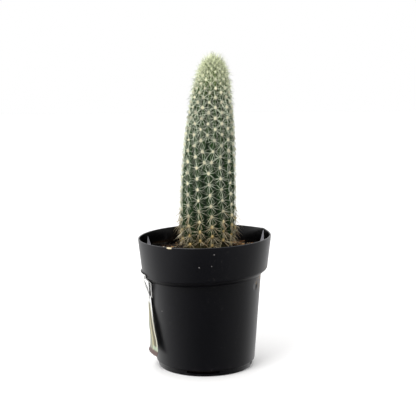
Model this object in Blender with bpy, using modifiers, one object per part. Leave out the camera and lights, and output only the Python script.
"""Ribbed column cactus in a round moulded nursery pot, with its soil and a hanging plant label.

Metres, +Z up. The origin is the centre of the pot's foot, on the surface that the pot stands on.
The front is -Y; the label hangs at the left, -X. Azimuths run counter-clockwise from +X.
"""

import math
import random

import bmesh
import bpy
from mathutils import Matrix, Vector, noise

MM = 0.001
CLEARANCE = 0.3 * MM
MERGE = 0.01 * MM

# Pot: outer radii and heights, from the rim down
POT_STEPS = 64
POT_HEIGHT = 98.5 * MM
WALL = 1.0 * MM
RIM_RADIUS = 50.0 * MM
COLLAR_LOW_RADIUS = 47.2 * MM
COLLAR_LOW_Z = 73.2 * MM
COLLAR_LIP_Z = 72.2 * MM
STEP_RADIUS = 42.4 * MM
STEP_Z = 68.6 * MM
LIP_SET_BACK = 0.5 * MM
LIP_INSIDE_RISE = 1.0 * MM
STEP_INSIDE_RISE = 0.8 * MM
BODY_LOW_RADIUS = 37.5 * MM
BODY_LOW_Z = 5.4 * MM
FOOT_RADIUS = 35.6 * MM
FOOT_WIDTH = 1.8 * MM
FOOT_EDGE = 0.4 * MM
FLOOR_LOW_Z = 1.0 * MM
FLOOR_TOP_Z = 2.2 * MM
CENTRE_HOLE_RADIUS = 5.0 * MM
RIM_ARC_STEPS = 3
CORNER_ARC_STEPS = 4
CORNER_ARC_END = -70.0

# Drain slots through the corner between wall and floor
SLOT_COUNT = 4
SLOT_TURN = math.radians(-3.0)
SLOT_WIDTH = 24.2 * MM
SLOT_LOW_Z = 1.9 * MM
SLOT_TOP_Z = 4.3 * MM
SLOT_DEPTH = 9.0 * MM

# Stacking lugs inside the collar, each with a sharp ridge: azimuth, top
LUGS = ((22.4, 97.6), (154.2, 95.8), (268.0, 95.8))
LUG_HALF_SPREAD = math.radians(7.0)
LUG_SHOULDER_Z = 84.0 * MM
LUG_SHOULDER_RADIUS = 45.7 * MM
LUG_FOOT_Z = 71.6 * MM
LUG_FOOT_RADIUS = 44.5 * MM
LUG_ROOT_Z = 72.5 * MM
LUG_ROOT_RADIUS = 46.6 * MM
LUG_APEX_SINK = 0.2 * MM
LUG_SIDE_SINK = 0.5 * MM

# The collar of the thin pot is bent a little: higher at the right, with a corner over one lug
STEP_TILT = math.radians(2.6)
RIM_TILT = math.radians(1.2)
BEND_LOW_Z = 45.0 * MM
CORNER_AZIMUTH = math.radians(24.0)
CORNER_RISE = 1.1 * MM
CORNER_SPREAD = math.radians(9.0)
CORNER_LOW_Z = 84.0 * MM

# Soil
SOIL_STEPS = 44
SOIL_STEM_Z = 90.2 * MM
SOIL_WALL_Z = 85.0 * MM
SOIL_LUMP = 1.3 * MM
SOIL_LUMPS_PER_METRE = 150.0
SOIL_SMOOTH_BAND = 7.0 * MM
SOIL_SHIFT_REACH = 34.0 * MM
SOIL_RINGS = 6

# Cactus stem
STEM_RADIUS = 16.0 * MM
STEM_LOW_Z = 60.0 * MM
STEM_ROUND = 5.0 * MM
STEM_SIDES = 28
STEM_COLLAR = 1.0 * MM
BODY_RADIUS = 19.8 * MM
BODY_WIDE_Z = 100.0 * MM
BODY_TOP_Z = 229.0 * MM
BODY_TAPER = 2.2
BODY_BLUNTNESS = 2.3
BODY_FOOT_PINCH = 0.07
BODY_FOOT_REACH = 22.0 * MM
LEAN_FOOT = 2.4 * MM
LEAN_TOP = 7.6 * MM
LEAN_CURVE = 1.6

# Ribs: fourteen that turn a little as they rise; three of them divide into two and then into three
LOW_RIBS = 14
DIVIDING_RIBS = (2, 7, 11)
HIGH_RIBS = LOW_RIBS + 2 * len(DIVIDING_RIBS)
LOW_RIB_START = math.radians(-131.5)
RIB_TURN = math.radians(-12.1)
TURN_LOW_Z = 99.9 * MM
TURN_TOP_Z = 164.8 * MM
HIGH_RIB_START = math.radians(-149.5)
DIVIDE_Z = 147.8 * MM
MIDDLE_Z = 174.4 * MM
DIVIDED_Z = 180.8 * MM
DIVIDE_GAP = math.radians(12.3)
RIB_DEPTH = 2.9 * MM
RIB_FULL_RADIUS = 10.0 * MM

# Areoles: every second row on each rib, offset from the neighbouring rib
AREOLE_RISE = 0.8 * MM
NOTCH = 0.35 * MM
ROW_STEP = 3.96 * MM
ROW_STEP_FOOT = 3.23 * MM
ROW_STEP_TIP = 1.2 * MM
ROW_STEP_PER_RADIUS = 0.178
ROW_FOOT_REACH = 30.0 * MM
ROW_FIRST_Z = 94.5 * MM
COARSE_RADIUS = 11.5 * MM
COARSEST_RADIUS = 5.0 * MM
TIP_RADIUS = 1.6 * MM
OUTLINE_STEPS = 4000

# Spines
SPINE_SEED = 11
SPINE_SIDES = 3
SPINE_RADIUS = 0.34 * MM
SPINE_ROOT = 2.2 * MM
SPINE_OFFSET = 1.0 * MM
SPINE_FAN = (25.0, 75.0)
SPINE_SPREAD_SHARE = (0.8, 1.15)
SPINE_LENGTH_SHARE = (0.85, 1.1)
SPINE_LENGTH = 7.2 * MM
SPINE_LENGTH_FOOT = 9.5 * MM
SPINE_LENGTH_TIP = 4.6 * MM
SPINE_FOOT_Z = 108.0 * MM
SPINES_CLEAR_SOIL_Z = 100.0 * MM
SPINE_LIFT_NEAR_SOIL = 0.2
SPINE_TIP_LOW_Z = 185.0 * MM
SPINE_TIP_Z = 222.0 * MM
SPINE_SPREAD = math.radians(54.0)
SPINE_SPREAD_TIP = math.radians(30.0)
PLANT_TOP_Z = 236.5 * MM

# Label: a strip whose top is folded round the lip of the collar, with its flap against the wall
LABEL_THICK = 0.5 * MM
LABEL_SPAN = math.radians(28.0)
LABEL_COLUMNS = 6
LABEL_NEAR_AZIMUTHS = ((74.0, 204.0), (66.0, 201.0), (48.0, 198.5), (33.0, 207.0), (20.0, 212.0), (9.0, 214.0))
LABEL_FLAP_LOW_Z = 55.0 * MM
LABEL_FLAP_DROP = 1.6 * MM
LABEL_ROUTE = (
    (44.3, 68.8),
    (45.6, 70.2),
    (46.6, 71.0),
    (47.5, 71.9),
    (47.85, 73.2),
    (47.95, 74.3),
    (48.4, 74.75),
    (48.8, 74.2),
    (48.6, 71.3),
    (47.6, 68.0),
    (45.8, 63.0),
    (44.4, 59.0),
    (43.8, 55.0),
    (42.9, 49.0),
    (42.8, 41.0),
    (42.7, 31.0),
    (42.0, 23.0),
    (42.1, 16.5),
    (42.4, 13.0),
    (43.2, 10.0),
)


def smoothstep(low, high, value):
    """0 below low, 1 above high, and a smooth rise between them."""
    t = min(max((value - low) / (high - low), 0.0), 1.0)
    return t * t * (3.0 - 2.0 * t)


def polar(radius, azimuth, z):
    return Vector((radius * math.cos(azimuth), radius * math.sin(azimuth), z))


def new_collection(name):
    collection = bpy.data.collections.new(name)
    bpy.context.scene.collection.children.link(collection)
    return collection


def new_object(name, mesh, collection):
    obj = bpy.data.objects.new(name, mesh)
    collection.objects.link(obj)
    return obj


def material(name, colour, roughness):
    """A plain finish, given to its object's only slot."""
    finish = bpy.data.materials.new(name)
    finish.use_nodes = True
    shader = finish.node_tree.nodes["Principled BSDF"]
    shader.inputs["Base Color"].default_value = (*colour, 1.0)
    shader.inputs["Roughness"].default_value = roughness
    shader.inputs["Metallic"].default_value = 0.0
    return finish


def evaluated_copy(obj):
    """The object's mesh with its modifiers applied, in its own coordinates."""
    depsgraph = bpy.context.evaluated_depsgraph_get()
    return bpy.data.meshes.new_from_object(obj.evaluated_get(depsgraph))


def apply_modifiers(obj):
    """Keeps the evaluated mesh as the object's own."""
    old = obj.data
    obj.data = evaluated_copy(obj)
    obj.modifiers.clear()
    bpy.data.meshes.remove(old)


def turned(name, profile, steps, collection, closed):
    """Turns an outline of (radius, z) points about Z. The outline runs down its outer side."""
    count = len(profile)
    edges = [(i, i + 1) for i in range(count - 1)]
    if closed:
        edges.append((count - 1, 0))
    mesh = bpy.data.meshes.new(name)
    mesh.from_pydata([(r, 0.0, z) for r, z in profile], edges, [])
    obj = new_object(name, mesh, collection)
    screw = obj.modifiers.new("turn", "SCREW")
    screw.axis = "Z"
    screw.angle = math.tau
    screw.steps = steps
    screw.render_steps = steps
    screw.use_merge_vertices = True
    screw.merge_threshold = MERGE
    apply_modifiers(obj)
    return obj


def smooth_shading(obj, degrees=35.0):
    obj.data.shade_smooth()
    obj.data.set_sharp_from_angle(angle=math.radians(degrees))


def arc(centre, radius, start, end, steps):
    """Points on an arc in the (radius, z) plane; angles in degrees, 0 outwards and 90 up."""
    points = []
    for i in range(steps + 1):
        turn = math.radians(start + (end - start) * i / steps)
        points.append((centre[0] + radius * math.cos(turn), centre[1] + radius * math.sin(turn)))
    return points


def collar_lift(x, y, z):
    """How far the bent collar stands above a true round one at this point."""
    slope = STEP_TILT + smoothstep(COLLAR_LOW_Z, POT_HEIGHT, z) * (RIM_TILT - STEP_TILT)
    tilt = smoothstep(BEND_LOW_Z, STEP_Z, z) * math.tan(slope) * x
    away = abs(math.remainder(math.atan2(y, x) - CORNER_AZIMUTH, math.tau))
    corner = smoothstep(CORNER_LOW_Z, POT_HEIGHT, z) * CORNER_RISE * math.exp(-away / CORNER_SPREAD)
    return tilt + corner


def bend_collar(obj, still_radius=0.0, bent_radius=MERGE):
    """Bends what stands at the collar. Nothing moves within the still radius."""
    for vertex in obj.data.vertices:
        radius = math.hypot(vertex.co.x, vertex.co.y)
        vertex.co.z += smoothstep(still_radius, bent_radius, radius) * collar_lift(*vertex.co)


def body_wall_radius(z):
    """Outer radius of the tapered wall below the collar."""
    share = (z - BODY_LOW_Z) / (STEP_Z - BODY_LOW_Z)
    return BODY_LOW_RADIUS + share * (STEP_RADIUS - BODY_LOW_RADIUS)


def pot_profile():
    """The wall's closed outline: up the inside, over the rim, down the outside, in under the floor."""
    inner_low = (BODY_LOW_RADIUS - WALL, BODY_LOW_Z)
    inside = [
        (CENTRE_HOLE_RADIUS, FLOOR_TOP_Z),
        (FOOT_RADIUS - WALL, FLOOR_TOP_Z),
        inner_low,
        (STEP_RADIUS - WALL, STEP_Z + STEP_INSIDE_RISE),
        (COLLAR_LOW_RADIUS - WALL, COLLAR_LIP_Z + LIP_INSIDE_RISE),
    ]
    rim_centre = (RIM_RADIUS - WALL / 2, POT_HEIGHT - WALL / 2)
    rim = arc(rim_centre, WALL / 2, 180.0, 0.0, 2 * RIM_ARC_STEPS)
    corner_centre = (FOOT_RADIUS, BODY_LOW_Z)
    corner_radius = BODY_LOW_RADIUS - FOOT_RADIUS
    corner = arc(corner_centre, corner_radius, 0.0, CORNER_ARC_END, CORNER_ARC_STEPS)
    outside = [
        (COLLAR_LOW_RADIUS, COLLAR_LOW_Z),
        (COLLAR_LOW_RADIUS - LIP_SET_BACK, COLLAR_LIP_Z),
        (STEP_RADIUS, STEP_Z),
        *corner,
        (FOOT_RADIUS, FOOT_EDGE),
        (FOOT_RADIUS - FOOT_EDGE / 2, 0.0),
        (FOOT_RADIUS - FOOT_WIDTH, 0.0),
        (FOOT_RADIUS - FOOT_WIDTH - FOOT_EDGE, FLOOR_LOW_Z),
        (CENTRE_HOLE_RADIUS, FLOOR_LOW_Z),
    ]
    return inside + rim + outside


def guide(obj):
    """Marks a cutter or a helper that is not a piece of the object."""
    obj.hide_render = True
    obj.display_type = "WIRE"
    return obj


def drain_cutters(collection):
    """Upright boxes across the corner of wall and floor, one for each drain slot."""
    height = SLOT_TOP_Z - SLOT_LOW_Z
    for i in range(SLOT_COUNT):
        azimuth = math.tau * i / SLOT_COUNT + SLOT_TURN
        bm = bmesh.new()
        bmesh.ops.create_cube(bm, size=1.0)
        bmesh.ops.scale(bm, vec=(SLOT_DEPTH, SLOT_WIDTH, height), verts=bm.verts)
        mesh = bpy.data.meshes.new("drain_cutter")
        bm.to_mesh(mesh)
        bm.free()
        cutter = guide(new_object(f"drain_cutter_{i}", mesh, collection))
        cutter.location = polar(BODY_LOW_RADIUS - 1.0 * MM, azimuth, SLOT_LOW_Z + height / 2)
        cutter.rotation_euler = (0.0, 0.0, azimuth)


def collar_inner_radius(z):
    """Inner radius of the flared collar."""
    flare = (RIM_RADIUS - COLLAR_LOW_RADIUS) / (POT_HEIGHT - COLLAR_LOW_Z)
    return COLLAR_LOW_RADIUS - WALL + flare * (z - COLLAR_LOW_Z)


def lug_points(azimuth, top, grow=0.0):
    """Corners of one stacking lug: an apex on the wall, a ridge, and two sides that run into the wall."""
    points = [
        polar(collar_inner_radius(top) + LUG_APEX_SINK - grow, azimuth, top + grow),
        polar(LUG_SHOULDER_RADIUS - grow, azimuth, LUG_SHOULDER_Z + grow),
        polar(LUG_FOOT_RADIUS - grow, azimuth, LUG_FOOT_Z - grow),
    ]
    side_radius = collar_inner_radius(LUG_SHOULDER_Z) + LUG_SIDE_SINK
    for radius, z in ((side_radius, LUG_SHOULDER_Z + grow), (LUG_ROOT_RADIUS, LUG_ROOT_Z - grow)):
        spread = LUG_HALF_SPREAD + grow / radius
        points.append(polar(radius, azimuth - spread, z))
        points.append(polar(radius, azimuth + spread, z))
    for point in points:
        point.z += collar_lift(*point)
    return points


def lug_guides(name, collection, grow=0.0):
    """The three lugs as closed hulls, grown by a clearance where they are used as cutters."""
    for i, (azimuth, top) in enumerate(LUGS):
        bm = bmesh.new()
        for point in lug_points(math.radians(azimuth), top * MM, grow):
            bm.verts.new(point)
        bmesh.ops.convex_hull(bm, input=bm.verts)
        mesh = bpy.data.meshes.new(name)
        bm.to_mesh(mesh)
        bm.free()
        guide(new_object(f"{name}_{i}", mesh, collection))


def boolean(obj, operation, collection, solver="EXACT"):
    modifier = obj.modifiers.new(operation.lower(), "BOOLEAN")
    modifier.operation = operation
    modifier.operand_type = "COLLECTION"
    modifier.collection = collection
    modifier.solver = solver


def make_pot(parts):
    """The moulded pot: a turned shell, bent at the collar, with its drain slots and stacking lugs."""
    pot = turned("pot", pot_profile(), POT_STEPS, parts, closed=True)
    bend_collar(pot)
    lugs = new_collection("stacking_lugs")
    lug_guides("lug", lugs)
    boolean(pot, "UNION", lugs)
    slots = new_collection("drain_slots")
    drain_cutters(slots)
    boolean(pot, "DIFFERENCE", slots)
    smooth_shading(pot)
    pot.data.materials.append(material("black_plastic", (0.012, 0.012, 0.013), 0.38))


def soil_height(x, y):
    """The lumpy surface of the potting mix, highest round the stem."""
    radius = math.hypot(x, y)
    share = smoothstep(STEM_RADIUS, COLLAR_LOW_RADIUS, radius)
    lump = noise.noise(Vector((x, y, 0.0)) * SOIL_LUMPS_PER_METRE)
    lump *= smoothstep(STEM_RADIUS, STEM_RADIUS + SOIL_SMOOTH_BAND, radius)
    return SOIL_STEM_Z + share * (SOIL_WALL_Z - SOIL_STEM_Z) + SOIL_LUMP * lump


def soil_profile():
    """From the foot of the stem's hole, up it, out over the surface and down inside the pot."""
    hole = STEM_RADIUS + CLEARANCE
    hole_low = STEM_LOW_Z - CLEARANCE
    slope = (RIM_RADIUS - COLLAR_LOW_RADIUS) / (POT_HEIGHT - COLLAR_LOW_Z)
    gap = WALL + 1.2 * CLEARANCE
    edge = COLLAR_LOW_RADIUS + slope * (SOIL_WALL_Z - COLLAR_LOW_Z) - gap
    surface = []
    for i in range(SOIL_RINGS + 1):
        surface.append((hole + (edge - hole) * i / SOIL_RINGS, SOIL_STEM_Z))
    side = [
        (COLLAR_LOW_RADIUS - gap, COLLAR_LIP_Z + LIP_INSIDE_RISE + 3.0 * CLEARANCE),
        (STEP_RADIUS - gap, STEP_Z + STEP_INSIDE_RISE + 2.0 * CLEARANCE),
        (BODY_LOW_RADIUS - gap, BODY_LOW_Z + 3.0 * CLEARANCE),
        (FOOT_RADIUS - gap, FLOOR_TOP_Z + CLEARANCE),
    ]
    return [(0.0, hole_low), (hole, hole_low), *surface, *side, (0.0, FLOOR_TOP_Z + CLEARANCE)]


def shift_to_stem(soil):
    """Brings the hole, and the surface round it, under the stem, which stands off the pot's axis."""
    hole = STEM_RADIUS + CLEARANCE
    for vertex in soil.data.vertices:
        if vertex.co.z > STEM_LOW_Z - STEM_ROUND:
            radius = math.hypot(vertex.co.x, vertex.co.y)
            vertex.co.x += LEAN_FOOT * (1.0 - smoothstep(hole, SOIL_SHIFT_REACH, radius))


def make_soil(parts):
    """The potting mix: it fills the pot, clears the lugs and leaves a plain hole for the stem."""
    soil = turned("soil", soil_profile(), SOIL_STEPS, parts, closed=False)
    for vertex in soil.data.vertices:
        if abs(vertex.co.z - SOIL_STEM_Z) < MERGE:
            vertex.co.z = soil_height(vertex.co.x, vertex.co.y)
    shift_to_stem(soil)
    bend_collar(soil, STEM_RADIUS + LEAN_FOOT + 2.0 * CLEARANCE, SOIL_SHIFT_REACH)
    pockets = new_collection("lug_pockets")
    lug_guides("lug_pocket", pockets, grow=1.5 * CLEARANCE)
    boolean(soil, "DIFFERENCE", pockets)
    smooth_shading(soil)
    soil.data.materials.append(material("potting_mix", (0.035, 0.022, 0.014), 0.95))


def lean(z):
    """Sideways offset of the stem's axis at a height."""
    share = min(max((z - BODY_WIDE_Z) / (BODY_TOP_Z - BODY_WIDE_Z), 0.0), 1.0)
    return LEAN_FOOT + (LEAN_TOP - LEAN_FOOT) * share**LEAN_CURVE


def crest_radius(z):
    """Radius of the stem over its ribs: a blunt column that narrows towards its round tip."""
    share = min(max((z - BODY_WIDE_Z) / (BODY_TOP_Z - BODY_WIDE_Z), 0.0), 1.0)
    column = (1.0 - share**BODY_TAPER) ** (1.0 / BODY_BLUNTNESS)
    pinch = BODY_FOOT_PINCH * (1.0 - smoothstep(SOIL_STEM_Z, SOIL_STEM_Z + BODY_FOOT_REACH, z))
    return BODY_RADIUS * column * (1.0 - pinch)


def row_step(z):
    """Height between rows: half the distance from one areole to the next on a rib."""
    foot = 1.0 - smoothstep(ROW_FIRST_Z, ROW_FIRST_Z + ROW_FOOT_REACH, z)
    column = ROW_STEP + foot * (ROW_STEP_FOOT - ROW_STEP)
    return min(column, ROW_STEP_TIP + ROW_STEP_PER_RADIUS * crest_radius(z))


def rows():
    """Heights of the rows, evenly spaced along the outline of the stem up to its tip."""
    heights = [ROW_FIRST_Z]
    z = ROW_FIRST_Z
    walked = 0.0
    for i in range(1, OUTLINE_STEPS):
        after = BODY_TOP_Z - (BODY_TOP_Z - ROW_FIRST_Z) * (1.0 - i / OUTLINE_STEPS) ** 3
        walked += math.hypot(after - z, crest_radius(after) - crest_radius(z))
        z = after
        if crest_radius(z) < TIP_RADIUS:
            break
        if walked >= row_step(z):
            heights.append(z)
            walked = 0.0
    return heights


def rib_parts(rib, z):
    """Sides of a rib's crests at a height: one crest in the middle, two beside it, or all three."""
    if rib not in DIVIDING_RIBS or z < DIVIDE_Z:
        return (0,)
    return (-1, 1) if z < MIDDLE_Z else (-1, 0, 1)


def high_index(rib, side):
    """Place of a rib, or of one part of a dividing rib, among the ribs of the upper stem."""
    before = sum(1 for other in DIVIDING_RIBS if other < rib)
    return rib + 2 * before + (1 + side if rib in DIVIDING_RIBS else 0)


def crests(z):
    """Ribs at a height, in order, as (azimuth, beat).

    The beat is odd or even, as the rows that carry the rib's areoles. The middle part of a divided rib
    is out of step with the parts beside it.
    """
    spread = smoothstep(DIVIDE_Z, DIVIDED_Z, z)
    turn = RIB_TURN * smoothstep(TURN_LOW_Z, TURN_TOP_Z, z)
    found = []
    for rib in range(LOW_RIBS):
        parts = rib_parts(rib, z)
        for side in parts:
            low = LOW_RIB_START + turn + math.tau * rib / LOW_RIBS + side * DIVIDE_GAP / 2
            high = HIGH_RIB_START + math.tau * high_index(rib, side) / HIGH_RIBS
            beat = rib + 1 if len(parts) == 3 and side == 0 else rib
            found.append((low + spread * (high - low), beat))
    return found


def rib_depth(z):
    return RIB_DEPTH * smoothstep(0.0, RIB_FULL_RADIUS, crest_radius(z))


def is_areole(row, beat):
    return (row + beat) % 2 == 0


def ring_points(row, z):
    """One row of the stem as (azimuth, point): crest, flank, furrow, flank for every rib."""
    ribs = crests(z)
    radius = crest_radius(z)
    per_rib = 4 if radius > COARSE_RADIUS else 2 if radius > COARSEST_RADIUS else 1
    full_gap = math.tau / len(ribs)
    points = []
    for (azimuth, beat), (after, _) in zip(ribs, ribs[1:] + ribs[:1]):
        gap = (after - azimuth) % math.tau
        depth = rib_depth(z) * min(1.0, gap / full_gap)
        for i in range(per_rib):
            share = 2.0 * i / per_rib
            off_crest = min(share, 2.0 - share)
            r = radius - depth * off_crest**2
            if i == 0:
                r += AREOLE_RISE if is_areole(row, beat) else -NOTCH
            turn = azimuth + gap * i / per_rib
            points.append((turn, polar(r, turn, z) + Vector((lean(z), 0.0, 0.0))))
    return points


def round_ring(radius, z, sides):
    """One row of the buried stem, round and in line with the foot of the ribs."""
    points = []
    for i in range(sides):
        turn = LOW_RIB_START + math.tau * i / sides
        points.append((turn, polar(radius, turn, z) + Vector((LEAN_FOOT, 0.0, 0.0))))
    return points


def zip_rings(bm, low, high, low_first):
    """Joins two rings of (azimuth, vertex) with triangles, whatever their counts.

    Where both rings could go on, low_first sets which way the diagonals run.
    """
    tie = MERGE if low_first else -MERGE
    i = 0
    j = 0
    while i < len(low) or j < len(high):
        low_next = low[(i + 1) % len(low)][0] + (math.tau if i + 1 >= len(low) else 0.0)
        high_next = high[(j + 1) % len(high)][0] + (math.tau if j + 1 >= len(high) else 0.0)
        a = low[i % len(low)][1]
        b = high[j % len(high)][1]
        if j >= len(high) or (i < len(low) and low_next < high_next + tie):
            bm.faces.new((a, low[(i + 1) % len(low)][1], b))
            i += 1
        else:
            bm.faces.new((a, high[(j + 1) % len(high)][1], b))
            j += 1


def stem_rings():
    """All rings of the stem from its buried end up to its tip."""
    rings = [
        round_ring(STEM_RADIUS - STEM_ROUND, STEM_LOW_Z, LOW_RIBS),
        round_ring(STEM_RADIUS, STEM_LOW_Z + STEM_ROUND, STEM_SIDES),
        round_ring(STEM_RADIUS, SOIL_STEM_Z + STEM_COLLAR, STEM_SIDES),
    ]
    for row, z in enumerate(rows()):
        rings.append(ring_points(row, z))
    return rings


def stem_mesh():
    """A loft through rings of unlike counts, closed by a fan at each end."""
    bm = bmesh.new()
    rings = []
    for points in stem_rings():
        rings.append([(turn, bm.verts.new(point)) for turn, point in points])
    for i, (low, high) in enumerate(zip(rings, rings[1:])):
        zip_rings(bm, low, high, low_first=i % 2 == 0)
    ends = (
        (rings[0], Vector((LEAN_FOOT, 0.0, STEM_LOW_Z - CLEARANCE / 3)), True),
        (rings[-1], Vector((lean(BODY_TOP_Z), 0.0, BODY_TOP_Z)), False),
    )
    for ring, tip, below in ends:
        centre = bm.verts.new(tip)
        for i, (_, vertex) in enumerate(ring):
            after = ring[(i + 1) % len(ring)][1]
            bm.faces.new((after, vertex, centre) if below else (vertex, after, centre))
    bmesh.ops.recalc_face_normals(bm, faces=bm.faces)
    mesh = bpy.data.meshes.new("cactus")
    bm.to_mesh(mesh)
    bm.free()
    return mesh


def crest_frame(z, azimuth):
    """A point on a rib's crest with its outward, sideways and upward directions."""
    step = 0.5 * MM
    radius = crest_radius(z)
    low = z - step
    high = min(z + step, BODY_TOP_Z)
    slope = (crest_radius(high) - crest_radius(low)) / (high - low)
    outward = polar(1.0, azimuth, -slope).normalized()
    sideways = polar(1.0, azimuth + math.pi / 2, 0.0)
    upward = outward.cross(sideways)
    point = polar(radius, azimuth, z) + Vector((lean(z), 0.0, 0.0))
    return point, outward, sideways, upward


def spine_length(z):
    foot = 1.0 - smoothstep(SOIL_STEM_Z, SPINE_FOOT_Z, z)
    tip = smoothstep(SPINE_TIP_LOW_Z, SPINE_TIP_Z, z)
    return SPINE_LENGTH + foot * (SPINE_LENGTH_FOOT - SPINE_LENGTH) + tip * (SPINE_LENGTH_TIP - SPINE_LENGTH)


def areole_spines(row, z, azimuth, draw):
    """One areole's spines as (root, direction): one fans down and one up, to the row's own side.

    Round the tip, where the areoles crowd, each has only the upper one.
    """
    point, outward, sideways, upward = crest_frame(z, azimuth)
    tip = smoothstep(SPINE_TIP_LOW_Z, BODY_TOP_Z, z)
    spread = SPINE_SPREAD + tip * (SPINE_SPREAD_TIP - SPINE_SPREAD)
    offset = SPINE_OFFSET * min(1.0, crest_radius(z) / RIB_FULL_RADIUS)
    side = 1.0 if row % 2 == 0 else -1.0
    down = -1.0 if z > SPINES_CLEAR_SOIL_Z else SPINE_LIFT_NEAR_SOIL
    for vertical in (down, 1.0) if crest_radius(z) > COARSE_RADIUS else (1.0,):
        turn = math.radians(draw.uniform(*SPINE_FAN))
        away = spread * draw.uniform(*SPINE_SPREAD_SHARE)
        across = sideways * (side * math.cos(turn)) + upward * (vertical * math.sin(turn))
        direction = (outward * math.cos(away) + across * math.sin(away)).normalized()
        yield point + across * offset, direction


def spine_mesh():
    """A three-sided needle of unit length along +Z, with its root at the origin."""
    bm = bmesh.new()
    bmesh.ops.create_cone(
        bm, cap_ends=True, segments=SPINE_SIDES, radius1=SPINE_RADIUS, radius2=0.0, depth=1.0
    )
    bmesh.ops.translate(bm, vec=(0.0, 0.0, 0.5), verts=bm.verts)
    mesh = bpy.data.meshes.new("spine")
    bm.to_mesh(mesh)
    bm.free()
    return mesh


def place_spine(mesh, root, direction, length, turn, collection):
    """One needle from its sunk root to its tip."""
    start = root - direction * SPINE_ROOT
    spine = new_object("spine", mesh, collection)
    spine.matrix_world = (
        Matrix.Translation(start)
        @ direction.to_track_quat("Z", "Y").to_matrix().to_4x4()
        @ Matrix.Rotation(turn, 4, "Z")
        @ Matrix.Diagonal((1.0, 1.0, length + SPINE_ROOT, 1.0))
    )


def place_spines(collection):
    """Spines on every areole, even on all sides and up to the tip."""
    draw = random.Random(SPINE_SEED)
    mesh = spine_mesh()
    for row, z in enumerate(rows()):
        for azimuth, beat in crests(z):
            if not is_areole(row, beat):
                continue
            for root, direction in areole_spines(row, z, azimuth, draw):
                length = spine_length(z) * draw.uniform(*SPINE_LENGTH_SHARE)
                length = min(length, (PLANT_TOP_Z - root.z) / max(direction.z, 0.01))
                place_spine(mesh, root, direction, length, draw.uniform(0.0, math.tau), collection)
    top = Vector((lean(BODY_TOP_Z), 0.0, BODY_TOP_Z))
    place_spine(mesh, top, Vector((0.0, 0.0, 1.0)), PLANT_TOP_Z - BODY_TOP_Z, 0.0, collection)


def remove_collection(collection):
    for obj in list(collection.objects):
        bpy.data.objects.remove(obj, do_unlink=True)
    bpy.data.collections.remove(collection)


def make_cactus(parts):
    """The grown stem: ribs and areoles are its surface, and its spines are fused into it."""
    cactus = new_object("cactus", stem_mesh(), parts)
    spines = new_collection("spines")
    place_spines(spines)
    bpy.context.view_layer.update()
    boolean(cactus, "UNION", spines, solver="MANIFOLD")
    apply_modifiers(cactus)
    remove_collection(spines)
    smooth_shading(cactus, degrees=40.0)
    cactus.data.materials.append(material("green_skin", (0.075, 0.16, 0.05), 0.6))


def label_near_azimuth(z):
    """Azimuth of the label's front edge at a height; the strip hangs a little askew."""
    for (high, high_turn), (low, low_turn) in zip(LABEL_NEAR_AZIMUTHS, LABEL_NEAR_AZIMUTHS[1:]):
        if z >= low * MM or low == LABEL_NEAR_AZIMUTHS[-1][0]:
            share = min(max((high * MM - z) / ((high - low) * MM), 0.0), 1.0)
            return math.radians(high_turn + share * (low_turn - high_turn))
    return math.radians(LABEL_NEAR_AZIMUTHS[-1][1])


def label_route():
    """Middle of the strip as (radius, z): up the flap, out under the step and down the front."""
    off_wall = 1.2 * CLEARANCE + LABEL_THICK / 2
    flap_top = STEP_Z - LABEL_FLAP_DROP
    flap_middle = (LABEL_FLAP_LOW_Z + flap_top) / 2
    flap = [(body_wall_radius(z) + off_wall, z) for z in (LABEL_FLAP_LOW_Z, flap_middle, flap_top)]
    return flap + [(r * MM, z * MM) for r, z in LABEL_ROUTE]


def make_label(parts):
    """The plant label: one thin strip that follows the round of the pot."""
    route = label_route()
    bm = bmesh.new()
    grid = []
    for r, z in route:
        near = label_near_azimuth(z)
        row = []
        for i in range(LABEL_COLUMNS + 1):
            point = polar(r, near - LABEL_SPAN * i / LABEL_COLUMNS, z)
            point.z += collar_lift(*point)
            row.append(bm.verts.new(point))
        grid.append(row)
    for upper, lower in zip(grid, grid[1:]):
        for i in range(LABEL_COLUMNS):
            bm.faces.new((upper[i], lower[i], lower[i + 1], upper[i + 1]))
    mesh = bpy.data.meshes.new("label")
    bm.to_mesh(mesh)
    bm.free()
    label = new_object("label", mesh, parts)
    thickness = label.modifiers.new("thickness", "SOLIDIFY")
    thickness.thickness = LABEL_THICK
    thickness.offset = 0.0
    thickness.use_even_offset = True
    smooth_shading(label)
    label.data.materials.append(material("label_plastic", (0.62, 0.63, 0.55), 0.4))


def main():
    for obj in list(bpy.data.objects):
        bpy.data.objects.remove(obj, do_unlink=True)
    parts = new_collection("potted_cactus")
    make_pot(parts)
    make_soil(parts)
    make_cactus(parts)
    make_label(parts)


main()
